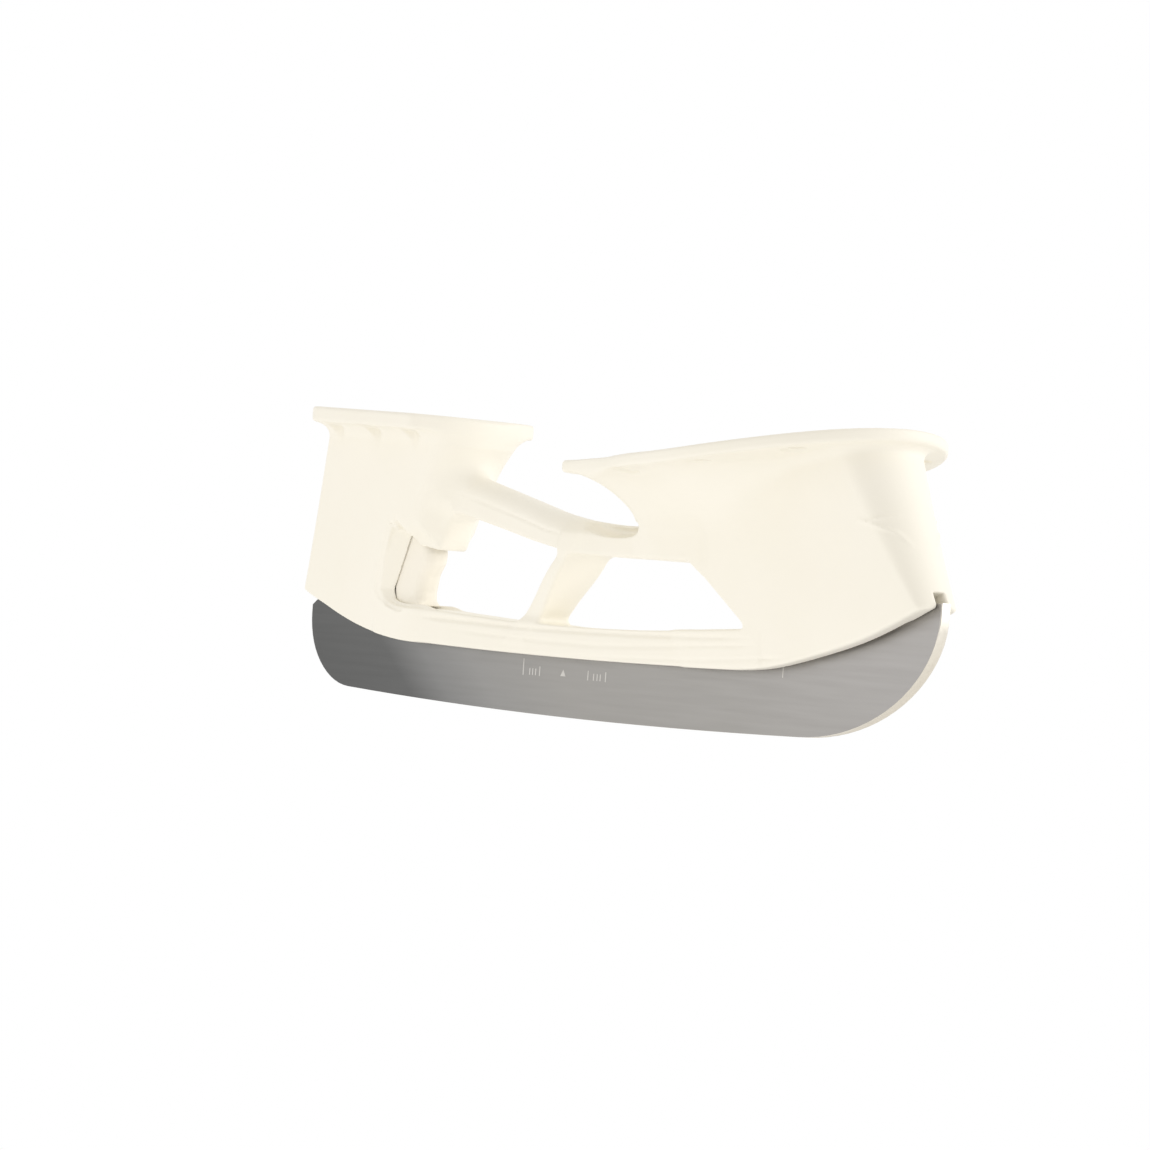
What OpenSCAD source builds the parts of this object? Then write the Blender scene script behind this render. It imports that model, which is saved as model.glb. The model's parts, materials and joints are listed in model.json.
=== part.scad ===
// Quick-release blade holder for an ice hockey skate, with its steel runner.
// X points to the toe, Y runs across the foot and Z points up.
// The origin is under mid-length, level with the lowest point of the steel.

/* [Runner] */
// Overall length of the steel
runner_len = 283; // [270:1:300]
// Thickness of the steel
runner_t = 3; // [2.6:0.1:3.4]
// Radius of the long curve along the skating edge
rocker_r = 3000; // [2600:100:4000]
// Length of the rounded heel corner
heel_corner_l = 23; // [20:1:30]
// Height of the rounded heel corner
heel_corner_h = 20; // [17:0.5:22]
// Length of the upward curve at the toe
toe_curve_l = 50; // [44:1:56]
// Height at which the toe curve ends
toe_curve_h = 34; // [32:0.5:35]
// Height of steel that shows below the holder at mid-length
steel_show = 16; // [14:0.5:18]
// Depth of steel inside the lower rail
steel_in = 5; // [4:0.25:5.5]
// Height of the heel tang
tang_top_z = 43; // [42:0.25:44]
// Height of the toe hook over the middle of its pin
hook_over = 5; // [4.5:0.25:5.5]

/* [Heel plate] */
// Length of the heel plate
heel_plate_l = 71.5; // [68:0.5:74]
// Width of the heel plate
heel_plate_w = 43; // [41:1:47]
// Thickness of the heel plate
heel_plate_t = 4.4; // [3.6:0.2:5.2]
// Height of the heel plate's top at its rear end
heel_plate_z = 84; // [81:0.5:87]
// Forward slope of the heel plate in degrees
heel_pitch = 2.5; // [0:0.5:4]

/* [Toe plate] */
// Length of the toe plate
toe_plate_l = 129.5; // [126:0.5:132]
// Width of the toe plate at the ball of the foot
toe_plate_w = 69; // [67:1:74]
// Width of the toe plate at its rear end
toe_waist_w = 35; // [34:1:40]
// Thickness of the toe plate
toe_plate_t = 3.2; // [2.6:0.2:4]
// Height of the toe plate's top at its rear end
toe_plate_z = 68.8; // [67:0.2:71]
// Radius of the upward curve under the toes
toe_spring_r = 470; // [420:10:700]

/* [Moulding] */
// Width of the lower rail
rail_w = 12; // [11:0.5:13]
// Height of the lower rail at mid-length
rail_h = 8.5; // [8:0.25:10]
// Width of the bridge and the strut
bridge_w = 10; // [9:0.5:12]
// Depth of the bridge
bridge_h = 8; // [7:0.25:9]
// Height of the bridge's top at its lowest point
bridge_z = 52; // [51:0.5:53]
// Rise of the bridge from its lowest point to the heel tower
bridge_rise = 15.4; // [14:0.2:16]
// Thickness of the strut along the holder
strut_t = 8; // [7:0.5:10]
// Wall of the hollow towers
wall = 3.5; // [3:0.25:4]
// Thickness of the ribs inside the towers
rib_t = 3; // [2.4:0.2:4]

/* [Mounting] */
// Diameter of the rivet holes in the plates
rivet_hole_d = 4.8; // [4:0.1:5.2]
// Diameter of the flat seat round each rivet hole
rivet_seat_d = 8; // [7.5:0.5:9]
// Distance of the heel holes from the plate's sides
heel_hole_edge = 4.5; // [4:0.1:5]
// Distance of the outer heel holes from the plate's ends
heel_hole_end = 15.75; // [14:0.25:18]
// Distance of the toe holes from the plate's sides
toe_hole_edge = 7; // [6.5:0.1:8]
// Spacing of the ball holes along the plate
ball_hole_dx = 32; // [28:1:36]

/* [Release] */
// Diameter of the trigger's pin
trigger_pin_d = 3; // [2.6:0.1:3.2]
// Width of the trigger
trigger_w = 8; // [7.6:0.1:8.6]
// Radius of the trigger's hub
hub_r = 4.8; // [4.6:0.05:5]
// Diameter of the toe anchor pin
anchor_pin_d = 5; // [4.6:0.1:5.4]
// Thickness of the latch plate
latch_t = 1.3; // [1.1:0.1:1.5]
// Width of the latch plate
latch_w = 4; // [3.6:0.1:4.2]
// Diameter of the latch rivets
latch_rivet_d = 1.6; // [1.4:0.1:1.8]
// Wire diameter of the trigger spring
spring_wire = 0.7; // [0.6:0.05:0.75]
// Number of turns in the trigger spring
spring_turns = 3; // [2:1:3]

/* [Clearances] */
// Gap between the steel and each side of its slot
slot_gap = 0.15; // [0.12:0.01:0.25]
// Gap above the steel in its slot
top_gap = 0.4; // [0.35:0.05:0.6]
// Gap above the steel ahead of the anchor pin, where it tips upward
toe_gap = 0.9; // [0.8:0.05:1.2]
// Gap on each side of the trigger
trigger_gap = 0.3; // [0.25:0.05:0.4]
// Running clearance round a pin
run_gap = 0.05; // [0.03:0.01:0.08]
// Interference of a pressed pin
press = 0.01; // [0.01:0.01:0.02]

/* [Hidden] */
$fn = 64;
far = 200;
loft_n = 20;
loft_rings = 14;

heel_x = -runner_len / 2;
toe_x = runner_len / 2;

// Lower edge of the holder, which rises at both ends
heel_rise_l = 61.5;
heel_rise_x = heel_x + heel_rise_l;
heel_rise_r = 155;
toe_rise_l = 76.5;
toe_rise_x = toe_x - toe_rise_l;
toe_edge_over = 0.7;
toe_rise_h = toe_curve_h + toe_edge_over - steel_show - toe_x * toe_x / (2 * rocker_r);
toe_rise_r = toe_rise_l * toe_rise_l / (2 * toe_rise_h);

// Plates
heel_plate_in = 84;
heel_plate_end = heel_x + heel_plate_in;
heel_plate_x = heel_plate_end - heel_plate_l;
heel_holes_x = (heel_plate_x + heel_plate_end) / 2;
heel_hole_dx = heel_plate_l - 2 * heel_hole_end;
heel_hole_dy = heel_plate_w - 2 * heel_hole_edge;
heel_rear_round = 16;
heel_front_round = 9;
toe_plate_in = 16.5;
toe_plate_end = toe_x - toe_plate_in;
toe_plate_x = toe_plate_end - toe_plate_l;
toe_rear_round = 12;
toe_front_round = 50;
toe_waist_l = 63;
toe_spring_l = 95;
toe_spring_x = toe_plate_end - toe_spring_l;
ball_holes_in = 63;
front_holes_in = 19;
rear_holes_in = 15.5;
ball_holes_x = toe_plate_end - ball_holes_in;
ball_hole_dy = toe_plate_w - 2 * toe_hole_edge;

// Towers, as their rear and front ends at the foot and just below the plate
heel_foot_in = [0.2, 66];
heel_neck_in = [19.5, 81.5];
heel_foot = heel_foot_in + [heel_x, heel_x];
heel_neck = heel_neck_in + [heel_x, heel_x];
heel_round = [5, 6];
heel_tip_round = 2.4;
heel_neck_w = 28;
heel_flare = 24;
toe_foot_in = [97, 0.3];
toe_neck_in = [122.5, 21];
toe_foot = [toe_x, toe_x] - toe_foot_in;
toe_neck = [toe_x, toe_x] - toe_neck_in;
toe_round = [10, 10];
toe_tip_round = 4;
toe_neck_w = 26;
toe_flare = 14;
flare_inset = 1.5;
seat_h = 7;
heel_floor = 8;
toe_cell = 28;
toe_floor = 4.6;

// Bridge, strut and windows
bridge_in = 126.5;
bridge_x = toe_x - bridge_in;
bridge_span = bridge_x - heel_neck[1];
bridge_r = (bridge_span * bridge_span + bridge_rise * bridge_rise) / (2 * bridge_rise);
bridge_end_in = 85;
bridge_end = toe_x - bridge_end_in;
bridge_lap = 9;
strut_foot_x = -22;
strut_head_x = -7.5;
strut_lap = 1;
recess_foot_at = [44.5, 31.7];
recess_foot = [heel_x, 0] + recess_foot_at;
recess_corner = 2;
recess_head_at = [53, 50];
recess_head = [heel_x, 0] + recess_head_at;
sill_z = 26.2;
brow_at = [64.5, 46];
brow = [heel_x, 0] + brow_at;
brow_step = [3.5, 3.5];
arch_at = [71, 54.5];
arch = [heel_x, 0] + arch_at;
arch_step = [6, 3];
toe_window_foot_at = [-68, 27.5];
toe_window_foot = [toe_x, 0] + toe_window_foot_at;
toe_window_head_at = [-93, 44];
toe_window_head = [toe_x, 0] + toe_window_head_at;
toe_window_corner = 4;
toe_window_l = 40;
rail_lap = [2, 6];
scoop_in = 131.5;
scoop_r = 3;
scoop_run_r = 44;
scoop_low = 0.8;
wall_step = 3.2;
wall_out = 4.2;

// Trigger, its pin and the latch
pivot_at = [57.5, 52];
pivot = [heel_x, 0] + pivot_at;
pivot_pin_y = [-8, 9.5];
anchor_in = 29.5;
anchor_over = 9;
anchor = [toe_x - anchor_in, toe_curve_h + anchor_over];
anchor_pin_y = [-5.5, 7];
hook_top_z = anchor[1] + hook_over;
hook_rear = 4.5;
hook_front = 6;
hook_foot = [16, 10];
hook_neck = 5;
hook_room = [1.2, 13.2, 16];
trigger_rear_top_at = [-4.2, -3];
trigger_rear_top = pivot + trigger_rear_top_at;
trigger_rear_low_at = [-9, -19.6];
trigger_rear_low = pivot + trigger_rear_low_at;
trigger_tip = 1.4;
trigger_tip_z = 28.2;
trigger_front_at = [[1, -20.5], [1.6, -16], [3.6, -13], [7, -9.5], [7.4, -6.5]];
trigger_heel_x = 3.1;
hub_room = 0.6;
brow_room = [4, 3.5, 6];
lever_room = [[-9, -8], [-6.3, -3]];
latch_room = [2.5, 3, 7.5, 3.1, 0.6];
rear_dir = (trigger_rear_low - trigger_rear_top) / norm(trigger_rear_low - trigger_rear_top);
rear_out = [rear_dir[1], -rear_dir[0]];
rear_tilt = atan2(rear_out[1], -rear_out[0]);
latch_from = 7;
latch_to = 17;
latch_rivet_at = [8.4, 11.2];
latch_rivet_l = 4;
latch_head_r = 1.3;
latch_head_t = 0.5;
ledge_at = [46.3, 35.2];
ledge = [heel_x, 0] + ledge_at;
ledge_depth = 3.3;
ledge_root_x = ledge[0] - ledge_depth;
ledge_h = 4.5;
ledge_slope = 24;
tooth_gap = 0.3;
tooth_reach = 2.4;
tooth_h = 2;
tooth_back = [1.5, 0.1];
tooth_lap = [0.2, 3.5];
tang_rear_in = 9;
tang_rear_x = heel_x + tang_rear_in;
tang_slope = [2, 1];
slot_end = 1;
slot_out = [4, 6];
tang_room = [0.6, 12, 4];

// Spring
spring_r = 3.1;
spring_pitch = 1.15;
spring_y = 0.1;
spring_pocket = [2.4, 3.9];
spring_pocket_y = -0.5;
spring_leg = 1.6;
spring_leg_room = [0.3, 0.4];
spring_leg_hole_r = 1.1;
spring_bend_r = 0.8;

ivory = [0.95, 0.93, 0.86];
steel = [0.66, 0.67, 0.69];

function mix(a, b, t) = a + (b - a) * t;
function ease(t) = let (c = min(1, max(0, t))) c * c * (3 - 2 * c);

// Height of a rounded end, from 0 at its tip to 1 at the distance r inward
function round_end(d, r) = d >= r ? 1 : sqrt(max(0, 1 - pow(1 - d / r, 2)));

function edge_z(x) =
    steel_show + x * x / (2 * rocker_r)
    + pow(min(0, x - heel_rise_x), 2) / (2 * heel_rise_r)
    + pow(max(0, x - toe_rise_x), 2) / (2 * toe_rise_r);
function rail_top_z(x) = steel_show + rail_h + pow(x - bridge_x, 2) / (2 * rocker_r / 2);
function heel_top_z(x) = heel_plate_z - (x - heel_plate_x) * tan(heel_pitch);
function toe_top_z(x) = toe_plate_z + pow(max(0, x - toe_spring_x), 2) / (2 * toe_spring_r);
function bridge_top_z(x) = bridge_z + bridge_r - sqrt(bridge_r * bridge_r - pow(x - bridge_x, 2));

function heel_half(x) =
    heel_plate_w / 2
    * round_end(x - heel_plate_x, heel_rear_round)
    * round_end(heel_plate_end - x, heel_front_round);
function toe_half(x) =
    mix(toe_waist_w, toe_plate_w, ease((x - toe_plate_x - toe_rear_round) / toe_waist_l * 1.2)) / 2
    * round_end(x - toe_plate_x, toe_rear_round)
    * round_end(toe_plate_end - x, toe_front_round);

// Places from 0 to 1 that crowd together at both ends
function spread(n) = [for (i = [0 : n]) (1 - cos(180 * i / n)) / 2];

// A flat shape in X and Z, given a width across Y
module slab(points, w) {
    rotate([90, 0, 0])
        linear_extrude(height = w, center = true)
            polygon(points);
}

// A round bar along Y from one side to the other
module cross_bar(at, r, y0, y1) {
    translate([at[0], y0, at[1]])
        rotate([-90, 0, 0])
            cylinder(r = r, h = y1 - y0);
}

// A closed skin through rings between a lower and an upper surface.
// rear and front give each ring's ends, and half its half-width at a place along it.
module loft(rear, front, half, low, high, t0, t1) {
    places = spread(loft_n);
    m = 2 * loft_n;
    points = [
        for (j = [0 : loft_rings])
            let (t = mix(t0, t1, j / loft_rings), a = rear(t), b = front(t))
                for (k = [0 : m - 1])
                    let (s = places[k <= loft_n ? k : m - k], x = mix(a, b, s))
                        [x, (k <= loft_n ? 1 : -1) * half(t, s, b - a), mix(low(x), high(x), t)]
    ];
    top = loft_rings * m;
    sides = [
        for (j = [0 : loft_rings - 1], k = [0 : m - 1])
            let (a = j * m + k, b = j * m + (k + 1) % m)
                each [[a, b, b + m], [a, b + m, a + m]]
    ];
    caps = [
        for (i = [0 : loft_n - 1])
            let (u = i, v = i + 1, q = (m - i) % m, r = m - i - 1)
                each [
                    if (i < loft_n - 1) [u, r, v],
                    if (i < loft_n - 1) [top + u, top + v, top + r],
                    if (i > 0) [u, q, r],
                    if (i > 0) [top + u, top + r, top + q]
                ]
    ];
    polyhedron(points, concat(sides, caps));
}

// Half-width of a tower's own section at the place s along a ring of length l
function tower_half(w, s, l, r0, r1) = w / 2 * round_end(s * l, r0) * round_end((1 - s) * l, r1);

// How far a tower's flare stays inside the plate's outline
function flare_trim(s, l) = flare_inset * round_end(min(s, 1 - s) * l, flare_inset);

module heel_tower(inset, flare, t0, t1) {
    loft(
        function(t) inset
            + mix(mix(heel_foot[0], heel_neck[0], t), heel_plate_x + flare_inset,
                  flare * pow(t, heel_flare)),
        function(t) -inset
            + mix(mix(heel_foot[1], heel_neck[1], t), heel_plate_end - flare_inset,
                  flare * pow(t, heel_flare)),
        function(t, s, l) mix(
            tower_half(mix(rail_w, heel_neck_w, t) - 2 * inset, s, l,
                       mix(heel_tip_round, heel_round[0], t), heel_round[1]),
            heel_half(mix(heel_plate_x, heel_plate_end, s)) - flare_trim(s, l),
            flare * pow(t, heel_flare)),
        function(x) edge_z(x),
        function(x) heel_top_z(x) - heel_plate_t / 2,
        t0, t1);
}

module toe_tower(inset, flare, t0, t1) {
    loft(
        function(t) inset
            + mix(mix(toe_foot[0], toe_neck[0], t), toe_plate_x + flare_inset,
                  flare * pow(t, toe_flare)),
        function(t) -inset
            + mix(mix(toe_foot[1], toe_neck[1], t), toe_plate_end - flare_inset,
                  flare * pow(t, toe_flare)),
        function(t, s, l) mix(
            tower_half(mix(rail_w, toe_neck_w, t) - 2 * inset, s, l,
                       toe_round[0], mix(toe_tip_round, toe_round[1], t)),
            toe_half(mix(toe_plate_x, toe_plate_end, s)) - flare_trim(s, l),
            flare * pow(t, toe_flare)),
        function(x) edge_z(x),
        function(x) toe_top_z(x) - toe_plate_t / 2,
        t0, t1);
}

// Plates
module plate_outline(x0, x1, half) {
    xs = [for (s = spread(36)) mix(x0, x1, s)];
    polygon(concat([for (x = xs) [x, half(x)]], [for (i = [35 : -1 : 1]) [xs[i], -half(xs[i])]]));
}

module plate(x0, x1, half, top, t) {
    xs = [for (s = spread(24)) mix(x0 - 1, x1 + 1, s)];
    intersection() {
        slab(concat([for (x = xs) [x, top(x)]],
                    [for (i = [24 : -1 : 0]) [xs[i], top(xs[i]) - t]]), far / 2);
        translate([0, 0, steel_show])
            linear_extrude(height = far / 2)
                plate_outline(x0, x1, half);
    }
}

// Rivet holes as their centres along X and their spacing across Y
rivet_pairs = [
    [heel_holes_x - heel_hole_dx / 2, heel_hole_dy],
    [heel_holes_x, heel_hole_dy],
    [heel_holes_x + heel_hole_dx / 2, heel_hole_dy],
    [ball_holes_x - ball_hole_dx / 2, ball_hole_dy],
    [ball_holes_x + ball_hole_dx / 2, ball_hole_dy],
    for (x = [toe_plate_x + rear_holes_in, toe_plate_end - front_holes_in])
        [x, 2 * (toe_half(x) - toe_hole_edge)]
];

function plate_top_z(x) = x < heel_plate_end ? heel_top_z(x) : toe_top_z(x);
function plate_t(x) = x < heel_plate_end ? heel_plate_t : toe_plate_t;

module rivet_holes() {
    for (pair = rivet_pairs, side = [-1, 1]) {
        translate([pair[0], side * pair[1] / 2, plate_top_z(pair[0])]) {
            translate([0, 0, -far / 4])
                cylinder(d = rivet_hole_d, h = far / 2);
            translate([0, 0, -plate_t(pair[0]) - seat_h])
                cylinder(d = rivet_seat_d, h = seat_h);
        }
    }
}

// Hollow towers, open at the top, with ribs left standing
module heel_hollow() {
    t0 = (pivot[1] + heel_floor - steel_show) / (heel_plate_z - steel_show);
    difference() {
        heel_tower(wall, 0, t0, 1.2);
        translate([heel_holes_x - rib_t / 2, -far / 2, 0])
            cube([rib_t, far, heel_top_z(heel_plate_end) - heel_plate_t]);
    }
}

module toe_hollow() {
    t0 = (hook_top_z + toe_gap + toe_floor - steel_show) / (toe_plate_z - steel_show);
    difference() {
        toe_tower(wall, 0, t0, 1.2);
        translate([0, -rib_t / 2, 0])
            cube([far, rib_t, toe_plate_z - toe_plate_t]);
        for (x = [toe_neck[0] + toe_cell, toe_neck[0] + 2 * toe_cell])
            translate([x, -far / 2, 0])
                cube([rib_t, far, toe_plate_z - toe_plate_t]);
    }
}

// Wall of the recess that closes in on one side of the trigger
module trigger_wall(side) {
    y0 = trigger_w / 2 + trigger_gap;
    rear = [recess_foot - [1, 1], recess_head - [1, 1]];
    points = [for (p = rear) each [[p[0], side * y0, p[1]],
                                   [p[0] + wall_step + 1, side * y0, p[1]],
                                   [p[0] + 1, side * (y0 + wall_out), p[1]],
                                   [p[0], side * (y0 + wall_out), p[1]]]];
    faces = [[0, 1, 2, 3], [7, 6, 5, 4], [0, 4, 5, 1], [1, 5, 6, 2], [2, 6, 7, 3], [3, 7, 4, 0]];
    polyhedron(points, side < 0 ? faces : [for (f = faces) [f[3], f[2], f[1], f[0]]]);
}

// Windows through the feet of the towers
module heel_window() {
    difference() {
        slab([[recess_foot[0] + recess_corner, sill_z], recess_foot, recess_head, brow, brow + brow_step,
              arch, arch + arch_step, [bridge_x, arch[1] + arch_step[1]], [bridge_x, sill_z]], far / 2);
        trigger_wall(-1);
        trigger_wall(1);
    }
}

module toe_window() {
    x0 = toe_window_head[0] - toe_window_l;
    slab([[x0, rail_top_z(x0)], [toe_window_foot[0] - toe_window_corner, rail_top_z(toe_window_foot[0])],
          toe_window_foot, toe_window_head,
          [toe_window_head[0] - toe_window_l / 3, bridge_z - bridge_h / 2],
          [x0, bridge_z - bridge_h / 2]], far / 2);
}

module rail() {
    x0 = recess_foot[0] - rail_lap[0];
    x1 = toe_window_foot[0] + rail_lap[1];
    xs = [for (i = [0 : 24]) mix(x0, x1, i / 24)];
    slab(concat([for (x = xs) [x, edge_z(x)]],
                [for (i = [24 : -1 : 0]) [xs[i], min(rail_top_z(xs[i]), sill_z)]]), rail_w);
}

module bridge() {
    xs = [for (i = [0 : 20]) mix(arch[0] - bridge_lap, bridge_end, i / 20)];
    difference() {
        slab(concat([for (x = xs) [x, bridge_top_z(x)]],
                    [for (i = [20 : -1 : 0]) [xs[i], bridge_top_z(xs[i]) - bridge_h]]), bridge_w);
        for (side = [-1, 1])
            translate([toe_x - scoop_in, side * (bridge_w / 2 - 1), bridge_z - scoop_low + scoop_run_r])
                rotate([90, 0, 0])
                    rotate_extrude()
                        translate([scoop_run_r, 0])
                            circle(r = scoop_r);
    }
}

module strut() {
    z0 = steel_show + rail_h - strut_lap;
    z1 = bridge_top_z(strut_head_x) - bridge_h / 2;
    slab([[strut_foot_x - strut_t / 2, z0], [strut_foot_x + strut_t / 2, z0],
          [strut_head_x + strut_t / 2 + strut_lap, z1],
          [strut_head_x - strut_t / 2 - strut_lap, z1]], bridge_w);
}

// Room for the steel in the rail and in both towers
module steel_slot() {
    x0 = tang_rear_x - slot_end;
    xs = [for (i = [0 : 40]) mix(x0, toe_x + slot_out[0], i / 40)];
    function gap_at(x) = x < anchor[0] - hook_room[1] ? top_gap : toe_gap;
    slab(concat([for (x = xs) [x, edge_z(x) - slot_out[1]]],
                [for (i = [40 : -1 : 0]) [xs[i], edge_z(xs[i]) + steel_in + gap_at(xs[i])]]),
         runner_t + 2 * slot_gap);
    slab([[x0, edge_z(x0)], [x0, tang_top_z + top_gap], [ledge[0] + tang_room[0], tang_top_z + top_gap],
          [ledge[0] + tang_room[1], sill_z - tang_room[2]], [ledge_root_x, edge_z(ledge_root_x)]],
         runner_t + 2 * slot_gap);
    slab([[anchor[0] - hook_foot[0] - 2 * hook_room[0], edge_z(anchor[0] - hook_foot[0])],
          anchor - [hook_rear + 2 * hook_room[0], hook_neck],
          [anchor[0] - hook_rear - hook_room[0], hook_top_z + toe_gap],
          [anchor[0] + hook_room[1], hook_top_z + toe_gap], [anchor[0] + hook_room[2], edge_z(anchor[0])]],
         runner_t + 2 * slot_gap);
}

// Room for the trigger's hub and lever, the latch and the spring's fixed leg
module trigger_room() {
    w = trigger_w + 2 * trigger_gap;
    cross_bar(pivot, hub_r + hub_room, -w / 2, w / 2);
    slab([pivot - [hub_r + hub_room, 0], pivot + [hub_r + hub_room, 0], brow + [brow_room[0], brow_room[1]],
          brow + [brow_room[0], -brow_room[2]], pivot + lever_room[0], pivot + lever_room[1]], w);
    slab([ledge + [latch_room[0], latch_room[1]], ledge + [latch_room[0], -latch_room[2]],
          ledge - [latch_room[3], latch_room[2]], ledge - [latch_room[3], 0]], latch_w + 2 * latch_room[4]);
    cross_bar(pivot, trigger_pin_d / 2 - press, pivot_pin_y[0], far / 4);
    cross_bar(spring_leg_at, spring_leg_hole_r, 0, w / 2 + spring_leg + spring_leg_room[1]);
}

module holder_body() {
    color(ivory)
    difference() {
        union() {
            difference() {
                heel_tower(0, 1, 0, 1);
                heel_window();
            }
            difference() {
                toe_tower(0, 1, 0, 1);
                toe_window();
            }
            plate(heel_plate_x, heel_plate_end,
                  function(x) heel_half(x), function(x) heel_top_z(x), heel_plate_t);
            plate(toe_plate_x, toe_plate_end,
                  function(x) toe_half(x), function(x) toe_top_z(x), toe_plate_t);
            rail();
            bridge();
            strut();
        }
        heel_hollow();
        toe_hollow();
        steel_slot();
        trigger_room();
        cross_bar(anchor, anchor_pin_d / 2 - press, anchor_pin_y[0], far / 4);
        rivet_holes();
    }
}

// Steel blade with a latched tang at the heel and a hook at the toe
module runner() {
    rocker_x0 = heel_x + heel_corner_l;
    rocker_x1 = toe_x - toe_curve_l;
    toe_b = toe_curve_h - toe_x * toe_x / (2 * rocker_r);
    function on_rocker(x, rise) = [x, x * x / (2 * rocker_r) + rise];
    top_xs = [for (i = [0 : 30]) mix(toe_x - steel_in * 0.6, tang_rear_x, i / 30)];
    outline = concat(
        [for (i = [0 : 14]) let (a = 90 * i / 14)
            on_rocker(rocker_x0 - heel_corner_l * cos(a), heel_corner_h * (1 - sin(a)))],
        [for (i = [1 : 15]) on_rocker(mix(rocker_x0, rocker_x1, i / 16), 0)],
        [for (i = [0 : 20]) let (a = 90 * i / 20)
            on_rocker(rocker_x1 + toe_curve_l * sin(a), toe_b * (1 - cos(a)))],
        [[toe_x, edge_z(toe_x) + steel_in * 0.4]],
        [for (x = top_xs) [x, edge_z(x) + min(steel_in, steel_in / 2 + (toe_x - x) / 4)]],
        [[tang_rear_x, edge_z(tang_rear_x) - top_gap],
         [heel_x + steel_in / 2, edge_z(tang_rear_x) - top_gap],
         [heel_x, edge_z(tang_rear_x) - steel_in * 0.4]]);
    root_z = ledge[1] - (ledge[0] - ledge_root_x) * tan(ledge_slope);
    color(steel)
    difference() {
        union() {
            slab(outline, runner_t);
            slab([[tang_rear_x, edge_z(tang_rear_x)], [tang_rear_x + tang_slope[0], tang_top_z],
                  [ledge_root_x + tang_slope[1], tang_top_z], ledge + [0, ledge_h], ledge,
                  [ledge_root_x, root_z], [ledge_root_x, edge_z(ledge_root_x)]],
                 runner_t);
            slab([[anchor[0] - hook_foot[0], edge_z(anchor[0] - hook_foot[0])],
                  anchor - [hook_rear, hook_neck], [anchor[0] - hook_rear, hook_top_z],
                  [anchor[0] + hook_front, hook_top_z], [anchor[0] + hook_foot[1], edge_z(anchor[0])]],
                 runner_t);
        }
        cross_bar(anchor, anchor_pin_d / 2 + run_gap, -far / 4, far / 4);
        translate([anchor[0] - hook_foot[0], -far / 4, anchor[1] - anchor_pin_d / 2 - run_gap])
            cube([hook_foot[0], far / 2, anchor_pin_d + 2 * run_gap]);
    }
}

module toe_anchor_pin() {
    color(steel)
    cross_bar(anchor, anchor_pin_d / 2, anchor_pin_y[0], anchor_pin_y[1]);
}

module trigger_pin() {
    color(steel)
    cross_bar(pivot, trigger_pin_d / 2, pivot_pin_y[0], pivot_pin_y[1]);
}

// A point on the trigger's rear face, s below its top and n behind it
function on_rear(s, n) = trigger_rear_top + s * rear_dir + n * rear_out;

// A round bar square to the rear face, from a height over it to a depth under it
module rear_bar(s, r, over, depth) {
    p = on_rear(s, over);
    translate([p[0], 0, p[1]])
        rotate([0, 90 + rear_tilt, 0])
            cylinder(r = r, h = over + depth);
}

// Finger lever that hangs from its hub and carries the latch
module trigger() {
    tip_rear = [trigger_rear_low[0] + trigger_tip, trigger_tip_z];
    color(ivory)
    difference() {
        union() {
            cross_bar(pivot, hub_r, -trigger_w / 2, trigger_w / 2);
            slab(concat([trigger_rear_top, trigger_rear_low, tip_rear],
                        [[pivot[0] + trigger_heel_x, trigger_tip_z]],
                        [for (q = trigger_front_at) pivot + q], [pivot + [hub_r, 0]]), trigger_w);
        }
        cross_bar(pivot, trigger_pin_d / 2 + run_gap, -far / 4, far / 4);
        difference() {
            cross_bar(pivot, spring_pocket[1], spring_pocket_y, far / 4);
            cross_bar(pivot, spring_pocket[0], -far / 4, far / 2);
        }
        slab([on_rear(latch_from, latch_t), on_rear(latch_to, latch_t),
              on_rear(latch_to, -latch_t), on_rear(latch_from, -latch_t)], latch_w);
        for (s = latch_rivet_at)
            rear_bar(s, latch_rivet_d / 2 - press, latch_head_t, latch_rivet_l);
    }
}

// Steel hook let into the trigger's rear face
module latch_plate() {
    tip = [ledge[0] - tooth_reach, ledge[1] - tooth_gap - tooth_reach * tan(ledge_slope)];
    tooth_root = ledge + [tooth_back[0], tooth_back[1] - tooth_gap];
    color(steel)
    difference() {
        union() {
            slab([on_rear(latch_from, 0), on_rear(latch_to, 0),
                  on_rear(latch_to, -latch_t), on_rear(latch_from, -latch_t)], latch_w);
            slab([tooth_root, tip, tip - [0, tooth_h * 0.6], tip + [tooth_h / 2, -tooth_h],
                  on_rear(latch_to - tooth_lap[0], -latch_t / 2),
                  on_rear(latch_to - tooth_lap[1], -latch_t / 2)], latch_w);
        }
        for (s = latch_rivet_at)
            rear_bar(s, latch_rivet_d / 2 - press, latch_head_t, latch_rivet_l);
    }
}

module latch_rivets() {
    color(steel)
    for (s = latch_rivet_at) {
        rear_bar(s, latch_rivet_d / 2, 0, latch_rivet_l);
        rear_bar(s, latch_head_r, latch_head_t, 0);
    }
}

// Torsion spring round the pin: turns, a bend and a leg into the holder
spring_end = 360 * spring_turns;
spring_leg_at = pivot + [spring_r, spring_bend_r + spring_leg_room[0]];

function spring_out(a) = [cos(a), 0, sin(a)];
function spring_along(a) = [-sin(a), 0, cos(a)];
function spring_point(a) =
    [pivot[0], spring_y + spring_pitch * a / 360, pivot[1]] + spring_r * spring_out(a);

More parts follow.
